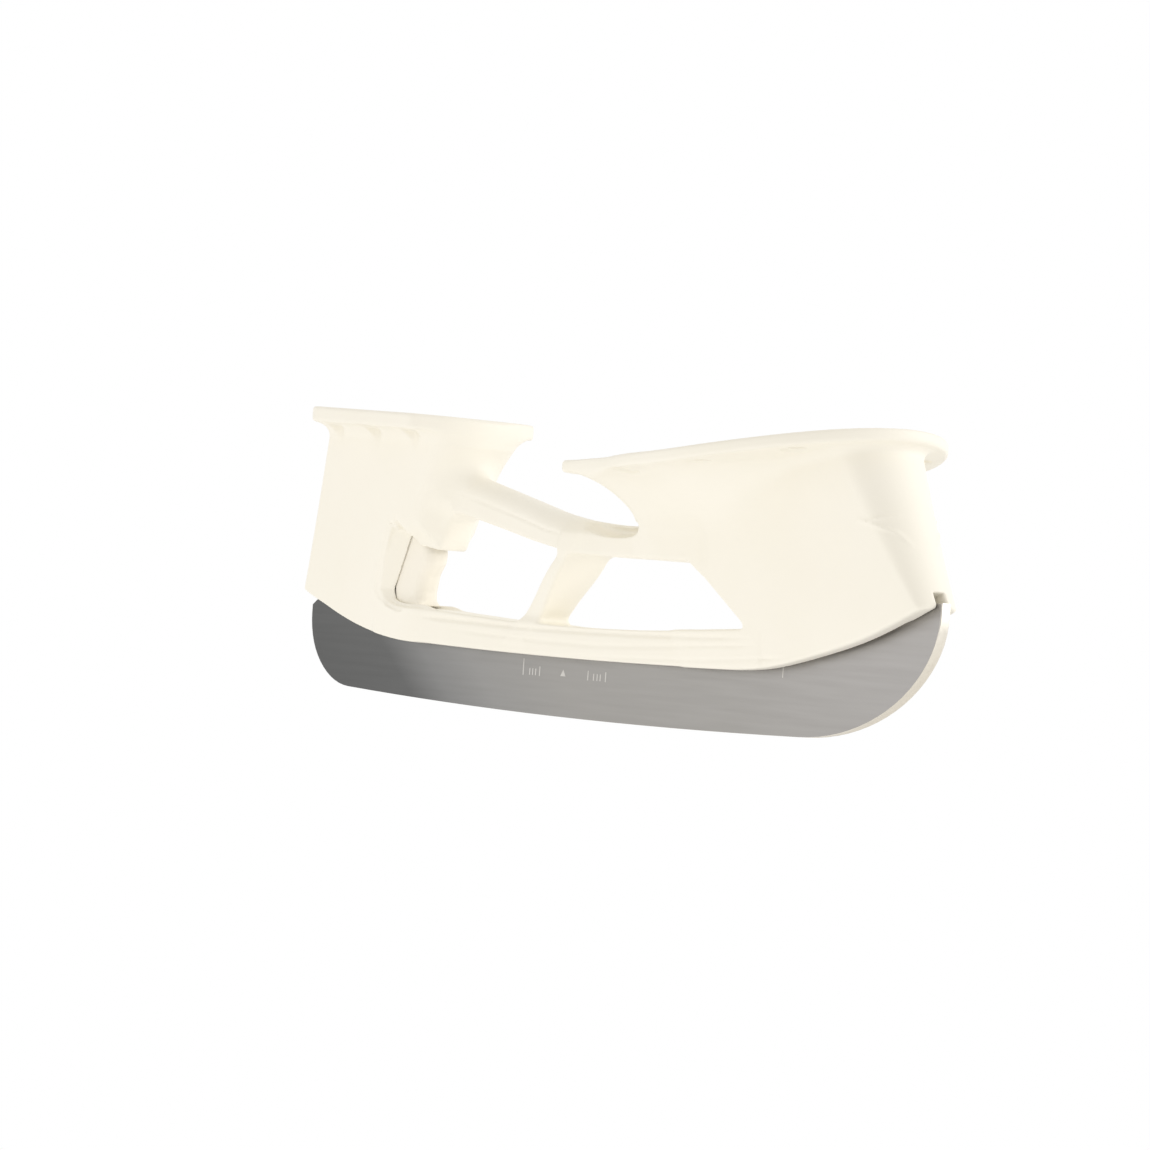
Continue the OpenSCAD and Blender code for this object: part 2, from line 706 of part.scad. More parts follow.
module trigger_spring() {
    sides = 6;
    turn_steps = 8 * spring_turns;
    bend_steps = 4;
    end = spring_point(spring_end);
    way = spring_along(spring_end);
    bend_end = end + spring_bend_r * (way + [0, 1, 0]);
    path = concat(
        [for (i = [0 : turn_steps]) let (a = spring_end * i / turn_steps)
            [spring_point(a), spring_along(a), a]],
        [for (i = [1 : bend_steps]) let (b = 90 * i / bend_steps)
            [end + spring_bend_r * (sin(b) * way + (1 - cos(b)) * [0, 1, 0]),
             cos(b) * way + sin(b) * [0, 1, 0], spring_end]],
        [[bend_end + [0, spring_leg, 0], [0, 1, 0], spring_end]]);
    count = len(path);
    points = [for (p = path, k = [0 : sides - 1])
        let (out = spring_out(p[2]), side = cross(p[1], out))
            p[0] + spring_wire / 2 * (cos(360 * k / sides) * out + sin(360 * k / sides) * side)];
    skin = [for (j = [0 : count - 2], k = [0 : sides - 1])
        let (a = j * sides + k, b = j * sides + (k + 1) % sides)
            each [[a, b + sides, b], [a, a + sides, b + sides]]];
    ends = [[for (k = [0 : sides - 1]) k], [for (k = [sides - 1 : -1 : 0]) (count - 1) * sides + k]];
    echo(least_gap = spring_pitch - spring_wire);
    color(steel)
    polyhedron(points, concat(skin, ends));
}

holder_body();
runner();
toe_anchor_pin();
trigger();
trigger_pin();
trigger_spring();
latch_plate();
latch_rivets();
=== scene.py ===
import json
import math

import bmesh
import bpy
import numpy as np
import openvdb
from mathutils import Matrix, Vector


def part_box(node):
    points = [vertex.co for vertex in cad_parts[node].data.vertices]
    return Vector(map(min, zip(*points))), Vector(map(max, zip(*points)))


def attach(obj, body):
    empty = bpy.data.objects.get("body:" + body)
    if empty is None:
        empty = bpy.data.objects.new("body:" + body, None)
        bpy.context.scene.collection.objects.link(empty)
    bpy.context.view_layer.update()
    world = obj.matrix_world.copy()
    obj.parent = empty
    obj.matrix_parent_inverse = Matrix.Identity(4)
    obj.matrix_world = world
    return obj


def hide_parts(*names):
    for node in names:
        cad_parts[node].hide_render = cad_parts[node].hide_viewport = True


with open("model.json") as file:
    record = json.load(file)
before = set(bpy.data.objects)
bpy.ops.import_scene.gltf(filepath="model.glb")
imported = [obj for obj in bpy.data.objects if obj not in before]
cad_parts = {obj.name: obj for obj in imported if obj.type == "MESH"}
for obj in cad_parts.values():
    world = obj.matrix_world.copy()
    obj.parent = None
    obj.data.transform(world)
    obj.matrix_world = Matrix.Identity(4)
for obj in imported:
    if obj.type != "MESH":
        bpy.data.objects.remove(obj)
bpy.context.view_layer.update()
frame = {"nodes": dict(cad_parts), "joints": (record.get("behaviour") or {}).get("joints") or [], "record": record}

# Sizes from the frame, in millimetres
MM = 1000
METRE = 0.001
steel_low, steel_high = (np.array(corner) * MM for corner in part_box("runner"))
body_high = np.array(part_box("holder_body")[1]) * MM
hinges = {joint["name"]: np.array(joint["pos_m"]) * MM for joint in frame["joints"]}
heel_x, toe_x = steel_low[0], steel_high[0]
steel_t = steel_high[1] - steel_low[1]
pivot_x, _, pivot_z = hinges["trigger_pull"]
anchor_x, _, anchor_z = hinges["runner_swing"]
pivot_pin_r, anchor_pin_r = (
    (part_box(pin)[1][0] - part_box(pin)[0][0]) * MM / 2 for pin in ("trigger_pin", "toe_anchor_pin"))
pivot_pin_y, anchor_pin_y = (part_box(pin)[0][1] * MM for pin in ("trigger_pin", "toe_anchor_pin"))
rivet_holes = []
for mount in frame["record"]["mounts"]:
    if mount["kind"] == "bolt_pattern":
        dims = mount["dims"]
        reach = dims.get("spacing_x_mm", 0) / 2
        for x in {mount["pos_m"][0] * MM - reach, mount["pos_m"][0] * MM + reach}:
            rivet_holes.append((x, dims["spacing_y_mm"] / 2, dims["hole_r_mm"]))
rivet_holes.sort()

# The holder's sizes, in millimetres: its lower edge and rail
rocker_r = 3000
edge_show = 16
heel_rise_l, heel_rise_r = 61.5, 155
toe_rise_l, toe_rise_r = 76.5, 190.5
toe_lift = ((66, 30, 0.9), (26, 24, 0.5))
heel_drop_l, heel_drop = 16, 0.9
low_rounds, low_round_x = (0.6, 1), (80, 120)
rail_half = 6
rail_mid, rail_reach = -9.75, 89.25
rail_top = ((-99, 27.1), (-68, 26.9), (-27, 25), (8, 25), (28, 25.4), (55, 26.4), (90, 28))
rail_edge, rail_fillet = 0.8, 2
line_soft = 4
end_round = 0.5

# Plates
heel_plate = (heel_x + 12.5, heel_x + 84)
heel_plate_half = 21.5
heel_plate_t = 4.4
heel_plate_ends = (16, 9)
heel_plate_z = body_high[2]
heel_pitch = math.tan(math.radians(2.5))
toe_plate = (toe_x - 146, toe_x - 16.5)
toe_plate_half = body_high[1]
toe_waist_half = 17.5
toe_waist_l = 52.5
toe_plate_t = 3.2
toe_plate_ends = (12, 50)
toe_plate_z = 68.8
toe_spring_x = toe_plate[1] - 95
toe_spring_r = 470
plate_edge = 0.95
plate_shy = 0.03
plate_points = 90

# Towers, with ends, half-widths and rounds at the foot and at the neck
tower_below = -0.05
tower_short, tower_edge = 1, 0.1
heel_rear = (heel_x + 0.2, heel_x + 19.5)
heel_front = (heel_x + 66.5, heel_x + 81.5)
heel_half = (rail_half, 14)
heel_rear_round = (2.2, 5)
heel_front_round = (7.5, 7.5)
heel_fillet = 4.5
heel_flare_z, heel_flare_r, heel_flare_most = 58, 22, 5
toe_rear = (toe_x - 97, toe_x - 122.5)
toe_front = (toe_x - 0.3, toe_x - 21)
toe_half = (rail_half, 13)
toe_rear_round = (8.8, 8.8)
toe_front_round = (2.2, 9.5)
toe_fillets, toe_fillet_x = (17, 3), (60, 100)

# Bridge with its scoops
bridge_half = (5.2, 7.4)
bridge_flare_x = (-38, 2)
bridge_crest = ((-90, 73), (-60, 65.4), (-48, 62.7), (-32, 59.2), (-16, 55.5), (-5, 53.8), (3, 53.1),
                (13, 52.5), (60, 52.5))
bridge_brow = ((-90, 65), (-61, 59.5), (-43.5, 56.3), (-14, 49.8), (-1, 49), (12, 49), (60, 50))
bridge_low = ((-90, 59.4), (-50, 52), (-25, 47.3), (-10, 45.1), (0, 44), (11, 43.6), (60, 43.6))
bridge_soft = 3
bridge_mid, bridge_reach = -10, 66
bridge_edge, crown_slope = 1.2, 0.97
bridge_fillets = (7, 6)
scoop_x, scoop_y, scoop_low = 17, 6.2, 50.7
scoop_deep, scoop_r, scoop_run_r = 4.4, 1.7, 46

# Strut and windows, with the windows' corners and their radii
strut_half = (5.3, 7.5)
strut_flare_z = (27, 41)
strut_side = ((-33, 20), (-28, 25), (-8.8, 44.4), (-7, 50), (2, 50), (-3.6, 44.2), (-19.2, 26), (-24, 20))
strut_edge, strut_fillet = 1, 2.5
recess_foot, recess_top = (-97, 31.7), (-88.5, 50)
heel_window_side = (((-84, 26.9), 0), ((-87.8, 27.2), 0), ((-91.5, 28.1), 0), ((-96, 30.2), 1.5),
                    (recess_foot, 1), (recess_top, 1.5), ((-80, 44.6), 2), ((-70.6, 43.6), 1.5),
                    ((-68.5, 46.8), 3), ((-66, 52.4), 3), ((-60.5, 53.8), 3), ((-50, 52), 0),
                    ((-25, 47.3), 0), ((-8.4, 45), 1.5), ((-27.6, 25.2), 1.5), ((-68, 26.8), 0))
toe_window_side = (((-19.8, 25.2), 4.5), ((-4, 43.8), 3), ((52.6, 43.6), 2), ((74.5, 27.4), 1.2),
                   ((55, 26.4), 0), ((28, 25.3), 0), ((8, 25), 0))
heel_window_round, toe_window_round = 0.8, 1
rim_w, rim_depth, rim_end = 1.3, 0.7, pivot_x

# Nose over the trigger, and the walls and lips beside it
nose_z, nose_x = (38, 43), (-91, -85.5, -64, -56)
nose_wall, nose_deep, nose_clear = 0.9, 6.5, 40
nose_reach, nose_pin_x = (4.2, 9), (-82, -75)
nose_slope, nose_round = 0.7, 1.5
wall_line = ((-94.5, 26.9), recess_foot, recess_top)
wall_step, wall_out, wall_back = 4.6, 4.2, 3
wall_slope, wall_inset, wall_fillet = 0.75, 0.4, 0.8
lip_reach, lip_h, lip_fall, lip_ends = 18, 0.6, 1.5, (8, 17)
lip_deep, lip_inset, lip_fillet = 2, 0.6, 0.5

# Hollows with their ribs, and rivet seats
hollow_wall = 3.5
heel_hollow_z, toe_hollow_z = 60, 53.5
hollow_round, hollow_edge = 1.5, 0.4
rib_half = 1.5
heel_rib_top, toe_rib_top = 76.5, 65.6
toe_ribs = (48.5, 76.5)
rib_edge, rib_foot = 0.2, 0.5
rivet_seat_r, rivet_seat_h = 4, 7
rivet_edge = 0.25

# Sunk lines with their depths, and raised creases with their heights
sunk_lines = ((((-80, 24.6), (-44, 23.9), (-26, 23.5), (8, 23.6), (28, 23.9), (55, 24.4), (78, 25.2)), 0.6),
              (((-60, 21.5), (-20, 20.3), (11, 20.1), (33, 21), (71, 22.9), (84, 23.8)), 0.4),
              (((-10, 16.9), (12, 17.1), (50, 18.2), (84, 20.3), (95, 21.4)), 0.4),
              (((-64, 60.4), (-43.5, 56.3), (-14, 50), (-2, 49)), 0.35))
line_taper = 14
creases = ((((118, 55.6), (124, 54.6), (129, 53.2), (130.6, 52.2), (132.5, 49.4)), 0.34),
           (((121.5, 55), (126, 56.3), (128.5, 57)), 0.26))
crease_taper, crease_soft, crease_fillet = 3, 0.8, 0.5

# Room for the steel, the trigger and the latch
slot_gap = 0.15
slot_half = steel_t / 2 + slot_gap
slot_rear, slot_past, slot_below = heel_x + 8, 4, 6
slot_in, slot_toe_in, slot_toe_x = 5.4, 5.9, 98.8
slot_points = 60
slot_heel = ((-133.5, 20), (-133.5, 43.4), (-94.6, 43.4), (-83.2, 22.2), (-98.5, 16))
slot_toe = ((93.6, 18), (105.1, 38), (106.3, 48.9), (125.2, 48.9), (128, 20))
mouth_half, mouth_h, mouth_x = 2.5, 1.1, (78, 118, 124, 134)
trigger_half = 4
trigger_gap = 0.2
hub_r, hub_room_r = 4.8, 5.4
cap_r, cap_turns = 9.4, (-42, -30, -18, -6, 6)
sweep_r, sweep_turns = 12.75, (-34, -42, -50, -60, -72)
foot_r = 24.75
room_top, room_rear = ((-89.4, 52), (-80, 52)), ((-93, 44), (-90.3, 49))
latch_room_x, latch_room_z = -95.5, 32.95
latch_room_l, latch_room_h, latch_room_half = 5.6, 10.5, 2.6

# Small edges, and the grid on which the holder is worked out
cut_edge, bore_edge = 0.3, 0.2
step = 0.4
holder_grid = ((heel_x - 1.5, toe_x + 1.5), (0, 36), (13, 86))


# Solid shapes as distance fields, in millimetres
def union(a, b, r):
    """Both shapes, with a round fillet of radius r in the corner between them."""
    return np.maximum(r, np.minimum(a, b)) - np.hypot(np.maximum(r - a, 0), np.maximum(r - b, 0))


def both(a, b, r):
    """What the shapes share, with its edge rounded to radius r."""
    return np.minimum(-r, np.maximum(a, b)) + np.hypot(np.maximum(r + a, 0), np.maximum(r + b, 0))


def cut(a, b, r):
    """The first shape without the second, with the new edge rounded to radius r."""
    return both(a, -b, r)


def mix(a, b, t):
    return a + (b - a) * t


def ease(t):
    c = np.clip(t, 0, 1)
    return c * c * (3 - 2 * c)


def ramp_in(x, start, end):
    return ease((x - start) / (end - start))


def between(x, start, full, fall, end):
    """1 from full to fall, with an eased way up from start and down to end."""
    return ramp_in(x, start, full) * (1 - ramp_in(x, fall, end))


def round_end(d, r):
    """The share of full width at distance d from an end that is rounded over r."""
    return np.where(d >= r, 1.0, np.sqrt(np.maximum(0, 1 - (1 - d / r) ** 2)))


def curve(points, x, soft):
    """A smooth line through points, rounded over about soft millimetres."""
    px, pz = zip(*points)
    reach, taps = 2.5 * soft, 41
    shifts = np.linspace(-reach, reach, taps)
    weights = np.exp(-0.5 * (shifts / soft) ** 2)
    weights /= weights.sum()
    return sum(w * np.interp(x + s, px, pz) for w, s in zip(weights, shifts))


def rounded(corners):
    """An outline with each corner turned into a smooth bend, from its corners and their radii."""
    most_share, bend_points = 0.48, 9
    out = []
    for i, (corner, r) in enumerate(corners):
        p = np.array(corner, float)
        if r <= 0:
            out.append(p)
            continue
        a = np.array(corners[i - 1][0], float) - p
        b = np.array(corners[(i + 1) % len(corners)][0], float) - p
        reach = most_share * min(np.linalg.norm(a), np.linalg.norm(b))
        a /= np.linalg.norm(a)
        b /= np.linalg.norm(b)
        half = 0.5 * math.acos(float(np.clip(a @ b, -1, 1)))
        back = min(r / math.tan(half), reach)
        for k in np.linspace(0, 1, bend_points):
            out.append((1 - k) ** 2 * (p + a * back) + 2 * k * (1 - k) * p + k * k * (p + b * back))
    return np.array(out)


def polygon(points, a, b):
    """Signed distance to a polygon in the plane of the coordinates a and b."""
    points = np.asarray(points, float)
    tiny = 1e-12
    best = np.full(np.broadcast(a, b).shape, np.inf)
    inside = np.zeros(best.shape, bool)
    for p, q in zip(points, np.roll(points, -1, 0)):
        ex, ey = q - p
        k = np.clip(((a - p[0]) * ex + (b - p[1]) * ey) / (ex * ex + ey * ey + tiny), 0, 1)
        best = np.minimum(best, (a - p[0] - ex * k) ** 2 + (b - p[1] - ey * k) ** 2)
        if abs(ey) > tiny:
            inside ^= ((p[1] <= b) != (q[1] <= b)) & (a < p[0] + (b - p[1]) / ey * ex)
    return np.where(inside, -np.sqrt(best), np.sqrt(best)).astype(np.float32)


def ellipse(p, q, rp, rq):
    """Nearly the distance to an ellipse with the half-axes rp and rq."""
    off_axis = 0.01
    q = np.maximum(np.abs(q), off_axis)
    k = np.hypot(p / rp, q / rq)
    return k * (k - 1) / np.hypot(p / rp ** 2, q / rq ** 2)


def section(from_rear, from_front, y, half, r_rear, r_front):
    """A long section with elliptical ends that take r_rear and r_front of its length."""
    rear, front = r_rear - from_rear, r_front - from_front
    p = np.maximum(np.maximum(rear, front), 0)
    return ellipse(p, y, np.where(rear > front, r_rear, r_front), half)


def pivot_arc(r, turns):
    """Points on an arc round the trigger's pin, at turns in degrees."""
    return [(pivot_x + r * math.cos(a), pivot_z + r * math.sin(a)) for a in np.radians(turns)]


def axis(low, high, h):
    return np.arange(low, high + h / 4, h, dtype=np.float32)


def skin(name, field, x, y, z, h, rounds=3):
    """The surface of a distance field, smoothed, as an object in metres."""
    band, shrink, swell = 2.0, 0.5, -0.52
    grid = openvdb.FloatGrid(band)
    grid.copyFromArray(np.ascontiguousarray(np.clip(field, -band, band), np.float32))
    points, quads = grid.convertToQuads(0.0)
    points = points.astype(float)
    a = np.concatenate([quads[:, i] for i in range(4)])
    b = np.concatenate([quads[:, (i + 1) % 4] for i in range(4)])
    count = np.maximum(np.bincount(a, minlength=len(points)), 1)[:, None]
    for strength in (shrink, swell) * rounds:
        mean = np.stack([np.bincount(a, points[b, k], len(points)) for k in range(3)], 1) / count
        points = points + strength * (mean - points)
    mesh = bpy.data.meshes.new(name)
    mesh.from_pydata((points * h + np.array([x[0], y[0], z[0]])) * METRE, [], quads[:, ::-1])
    mesh.update()
    mesh.shade_smooth()
    return show(name, mesh)


def show(name, mesh):
    obj = bpy.data.objects.new(name, mesh)
    bpy.context.scene.collection.objects.link(obj)
    return obj


# The holder's main lines
def edge_z(x):
    """Height of the holder's lower edge."""
    heel_rise = np.minimum(0, x - heel_x - heel_rise_l) ** 2 / (2 * heel_rise_r)
    toe_rise = np.maximum(0, x - toe_x + toe_rise_l) ** 2 / (2 * toe_rise_r)
    return edge_show + x * x / (2 * rocker_r) + heel_rise + toe_rise


def low_edge(x):
    """Height of the lower edge as the moulding has it, a little off the steel's line at both ends."""
    lift = sum(rise * ease((x - toe_x + start) / run) for start, run, rise in toe_lift)
    return edge_z(x) + lift - heel_drop * ease((heel_x - x) / heel_drop_l + 1)


def heel_top(x):
    return heel_plate_z - (x - heel_plate[0]) * heel_pitch


def toe_top(x):
    return toe_plate_z + np.maximum(0, x - toe_spring_x) ** 2 / (2 * toe_spring_r)


def rounded_ends(x, span, rounds):
    """The share of full width along a plate with both ends rounded."""
    return round_end(x - span[0], rounds[0]) * round_end(span[1] - x, rounds[1])


def heel_outline(x):
    return heel_plate_half * rounded_ends(x, heel_plate, heel_plate_ends)


def toe_outline(x):
    widen = ease((x - toe_plate[0] - toe_plate_ends[0]) / toe_waist_l)
    return mix(toe_waist_half, toe_plate_half, widen) * rounded_ends(x, toe_plate, toe_plate_ends)


def plate(outline, ends, top, t):
    """A plate under the height top, with its half-width given by outline."""
    x = mix(*ends, (1 - np.cos(np.linspace(0, math.pi, plate_points))) / 2)
    half = outline(x)
    points = np.concatenate([np.stack([x, half], 1), np.stack([x, -half], 1)[-2:0:-1]])
    side = polygon(points, x2, y2)[:, :, None] + plate_shy
    return both(side, np.abs(Z - top(X) + t / 2) - t / 2, plate_edge)


def tower(rear, front, half, rear_round, front_round, top, t, flare=0):
    """A tower under a plate of thickness t, given by what it has at its foot and at its neck."""
    tall = top(X) - t / 2 - edge_z(X)
    up = np.clip((Z - edge_z(X)) / tall, tower_below, 1)
    lean_rear, lean_front = (1 / np.hypot(1, (end[1] - end[0]) / tall) for end in (rear, front))
    from_rear = (X - mix(*rear, up)) * lean_rear
    from_front = (mix(*front, up) + flare - X) * lean_front
    field = section(from_rear, from_front, Y, mix(*half, up), mix(*rear_round, up), mix(*front_round, up))
    return field.astype(np.float32)


xs, ys, zs = (axis(*span, step) for span in holder_grid)
X, Y, Z = xs[:, None, None], ys[None, :, None], zs[None, None, :]
x2, y2, z2 = xs[:, None], ys[None, :], zs[None, :]

# Towers with their plates
heel_flare = np.minimum(np.maximum(0, Z - heel_flare_z) ** 2 / (2 * heel_flare_r), heel_flare_most)
heel_tower = tower(heel_rear, heel_front, heel_half, heel_rear_round, heel_front_round,
                   heel_top, heel_plate_t, heel_flare)
toe_tower = tower(toe_rear, toe_front, toe_half, toe_rear_round, toe_front_round, toe_top, toe_plate_t)
heel = both(heel_tower, Z - heel_top(X) + tower_short, tower_edge)
heel = union(heel, plate(heel_outline, heel_plate, heel_top, heel_plate_t), heel_fillet)
heel = np.maximum(heel, Z - heel_top(X))
toe = both(toe_tower, Z - toe_top(X) + tower_short, tower_edge)
toe_fillet = mix(*toe_fillets, ramp_in(X, *toe_fillet_x))
toe = union(toe, plate(toe_outline, toe_plate, toe_top, toe_plate_t), toe_fillet)
toe = np.maximum(toe, Z - toe_top(X))

# Bridge with a crowned top, whose slope brings its field back to a true distance
crest, brow, low = (curve(line, X, bridge_soft) for line in (bridge_crest, bridge_brow, bridge_low))
half = mix(*bridge_half, ramp_in(X, *bridge_flare_x))
crown = np.where(Z > brow, ellipse(Y, Z - brow, half, crest - brow), Y - half) * crown_slope
bridge = both(crown.astype(np.float32), low - Z, bridge_edge)
bridge = both(bridge, np.abs(X - bridge_mid) - bridge_reach, end_round)
body = union(union(heel, bridge, bridge_fillets[0]), toe, bridge_fillets[1])
del heel, toe, crown

# Rail and strut
rail = np.maximum(low_edge(X) - Z, Z - curve(rail_top, X, line_soft))
rail = both(Y - rail_half, rail, rail_edge)
rail = both(rail, np.abs(X - rail_mid) - rail_reach, end_round).astype(np.float32)
strut_wide = mix(*strut_half, ramp_in(Z, *strut_flare_z))
strut = both(polygon(strut_side, x2, z2)[:, None, :], Y - strut_wide, strut_edge)
body = union(union(body, rail, rail_fillet), strut, strut_fillet)
body = both(body, low_edge(X) - Z, mix(*low_rounds, ramp_in(X, *low_round_x)))
del bridge, rail, strut

# Windows, the rim of the heel window and the nose over the trigger
heel_window = polygon(rounded(heel_window_side), x2, z2)[:, None, :]
toe_window = polygon(rounded(toe_window_side), x2, z2)[:, None, :]
rim = np.maximum(heel_window - rim_w, np.maximum(-(body + rim_depth), X - rim_end))
body = cut(body, rim, bore_edge)
wall_y = trigger_half + trigger_gap
nose_run = mix(*nose_reach, ramp_in(X, *nose_pin_x))
nose = ramp_in(Z, *nose_z) * between(X, *nose_x) * (1 - ease(heel_window / nose_run - 1))
nose_half = wall_y + nose_wall + nose_deep * ease(heel_window / nose_run) + nose_clear * (1 - nose)
body = cut(body, ((nose_half - Y) * nose_slope).astype(np.float32), nose_round)
body = cut(body, heel_window, heel_window_round)
body = cut(body, toe_window, toe_window_round)
del rim, nose_half

# Walls and lips that close in on the trigger
wall_x = np.interp(Z, [z for _, z in wall_line], [x for x, _ in wall_line])
wall = X - wall_x - wall_step * np.clip(1 - (Y - wall_y) / wall_out, 0, 1)
wall = np.maximum(np.maximum(wall * wall_slope, heel_tower + wall_inset), wall_y - Y)
wall = np.maximum(wall, np.maximum(wall_line[0][1] - wall_inset - Z, Z - recess_top[1]))
wall = np.maximum(wall, wall_x - wall_back - X)
body = union(body, wall.astype(np.float32), wall_fillet)
foot_z = pivot_z - np.sqrt(foot_r ** 2 - np.clip(X - pivot_x, -lip_reach, 0) ** 2)
lip = Z - foot_z - lip_h + lip_fall * ramp_in(X - pivot_x, *lip_ends)
lip = np.maximum(np.maximum(lip, foot_z - lip_deep - Z), np.maximum(wall_y - Y, Y - rail_half + lip_inset))
lip = np.maximum(lip, np.abs(X - pivot_x) - lip_reach)
body = union(body, lip.astype(np.float32), lip_fillet)
del wall, lip

# Hollows of the towers, with their ribs
heel_rib = np.abs(X - sum(heel_plate) / 2) - rib_half
toe_rib = np.minimum(Y - rib_half, np.minimum(*(np.abs(X - x) - rib_half for x in toe_ribs)))
for outside, bottom, rib, rib_top in ((heel_tower, heel_hollow_z, heel_rib, heel_rib_top),
                                      (toe_tower, toe_hollow_z, toe_rib, toe_rib_top)):
    hollow = both(outside + hollow_wall, bottom - Z, hollow_round)
    hollow = cut(hollow, both(rib, Z - rib_top, rib_edge), rib_foot)
    body = cut(body, hollow, hollow_edge)
del hollow, outside, heel_tower, toe_tower

# Scoops on both shoulders of the bridge
scoop = np.hypot(X - scoop_x, Z - scoop_low - scoop_run_r) - scoop_run_r
scoop = ellipse(scoop, Y - scoop_y, scoop_r, scoop_deep)
body = cut(body, scoop.astype(np.float32), cut_edge)
del scoop

# Rivet holes and the seats under them
for x, y, r in rivet_holes:
    low = heel_top(x) - heel_plate_t if x < 0 else toe_top(x) - toe_plate_t
    across = np.hypot(X - x, Y - y)
    body = cut(body, across - r, rivet_edge)
    seat = np.maximum(across - rivet_seat_r, np.abs(Z - low + rivet_seat_h / 2) - rivet_seat_h / 2)
    body = cut(body, seat, rivet_edge)

# Sunk lines along the rail and the bridge, and raised creases on the toe tower's nose
for line, depth in sunk_lines:
    ends = np.minimum(X - line[0][0], line[-1][0] - X)
    groove = np.hypot(Z - curve(line, X, line_soft), body) - depth * ease(ends / line_taper)
    body = np.where(ends > 0, cut(body, groove, cut_edge), body).astype(np.float32)
for line, height in creases:
    ends = np.minimum(X - line[0][0], line[-1][0] - X)
    ridge = np.hypot(Z - curve(line, X, crease_soft), np.maximum(body, 0))
    ridge = ridge - height * ease(ends / crease_taper)
    body = np.where(ends > 0, union(body, ridge, crease_fillet), body).astype(np.float32)

# Room for the steel, the trigger and the latch
x = np.linspace(slot_rear, toe_x + slot_past, slot_points)
roof = edge_z(x) + np.where(x < slot_toe_x, slot_in, slot_toe_in)
slot = polygon([*zip(x, edge_z(x) - slot_below), *zip(x[::-1], roof[::-1])], x2, z2)
for side in (slot_heel, slot_toe):
    slot = np.minimum(slot, polygon(side, x2, z2))
body = cut(body, np.maximum(slot[:, None, :], Y - slot_half), cut_edge)
mouth = mouth_h * between(X, *mouth_x)
body = cut(body, np.maximum(Y - mouth_half, Z - low_edge(X) - mouth), cut_edge)
from_pin = np.hypot(x2 - pivot_x, z2 - pivot_z)
cap_room = np.maximum(from_pin - cap_r - trigger_gap, np.maximum(pivot_x - x2, z2 - pivot_z - hub_room_r))
room_side = (*room_top, *pivot_arc(sweep_r, sweep_turns), *room_rear)
room = np.minimum(np.minimum(from_pin - hub_room_r, cap_room), polygon(room_side, x2, z2))
body = cut(body, np.maximum(room[:, None, :], Y - wall_y), cut_edge)
room = np.maximum(np.abs(X - latch_room_x) - latch_room_l / 2, np.abs(Z - latch_room_z) - latch_room_h / 2)
body = cut(body, np.maximum(room, Y - latch_room_half), cut_edge)

# Both sides, and the pin bores, which open on one side only
body = np.concatenate([body[:, :0:-1, :], body], 1)
ys = np.concatenate([-ys[:0:-1], ys])
Y = ys[None, :, None]
for x, z, r, y in ((pivot_x, pivot_z, pivot_pin_r, pivot_pin_y),
                   (anchor_x, anchor_z, anchor_pin_r, anchor_pin_y)):
    body = cut(body, np.maximum(np.hypot(X - x, Z - z) - r, y - Y), bore_edge)
holder = skin("holder_shell", body, xs, ys, zs, step)
del body

# Trigger
trigger_step, trigger_smooth = 0.3, 2
trigger_grid = ((pivot_x - 11, pivot_x + 10), (-5, 5), (26.5, 58.5))
trigger_rear = ((-88.2, 49), (-93, 32.4))
trigger_side = ((trigger_rear[0], 0), (trigger_rear[1], 1.5), ((-91.6, 26.8), 1.2), ((-80.2, 26.8), 1),
                ((-80.6, 31.5), 2), ((-79.4, 36), 3), ((-76.8, 39.5), 2), ((-76.3, 42.6), 1.5),
                *((point, 0) for point in pivot_arc(cap_r, cap_turns)), ((pivot_x, 55), 0))
trigger_edges, soft_x, soft_z = (0.4, 3.4), (pivot_x - 4.5, pivot_x + 0.5), (27.2, 29.5)
hub_fillet = 1
pin_gap = 0.05
coil_r, coil_half, coil_y, coil_edge = 3.15, 0.75, -0.5, 0.1
latch_from, latch_to, latch_t, latch_half, latch_edge = 7, 17, 1.3, 2, 0.05
latch_rivets, latch_rivet_r, latch_rivet_reach = (8.4, 11.2), 0.8, 4

tx, ty, tz = (axis(*span, trigger_step) for span in trigger_grid)
X, Y, Z = tx[:, None, None], ty[None, :, None], tz[None, None, :]
outline = polygon(rounded(trigger_side), tx[:, None], tz[None, :])
from_pin = np.hypot(X - pivot_x, Z - pivot_z)
hub = from_pin[:, 0, :] - hub_r
lever = union(np.maximum(outline, (from_pin - foot_r)[:, 0, :]), hub, hub_fillet)
soft = ramp_in(X, *soft_x) * ramp_in(Z, *soft_z)
lever = both(lever[:, None, :], np.abs(Y) - trigger_half, mix(*trigger_edges, soft))
lever = cut(lever, from_pin - pivot_pin_r - pin_gap, bore_edge)
lever = cut(lever, np.maximum(np.abs(from_pin - coil_r) - coil_half, coil_y - Y), coil_edge)
rear_x, rear_z = trigger_rear[0]
run = np.subtract(trigger_rear[1], trigger_rear[0])
run /= np.linalg.norm(run)
down = (X - rear_x) * run[0] + (Z - rear_z) * run[1]
depth = (X - rear_x) * run[1] - (Z - rear_z) * run[0]
seat = np.abs(down - (latch_from + latch_to) / 2) - (latch_to - latch_from) / 2
seat = np.maximum(np.maximum(seat, np.abs(depth) - latch_t), np.abs(Y) - latch_half)
lever = cut(lever, seat, latch_edge)
for at in latch_rivets:
    bore = np.maximum(np.hypot(down - at, Y) - latch_rivet_r, np.abs(depth) - latch_rivet_reach)
    lever = cut(lever, bore, latch_edge)
trigger = skin("trigger_lever", lever, tx, ty, tz, trigger_step, trigger_smooth)


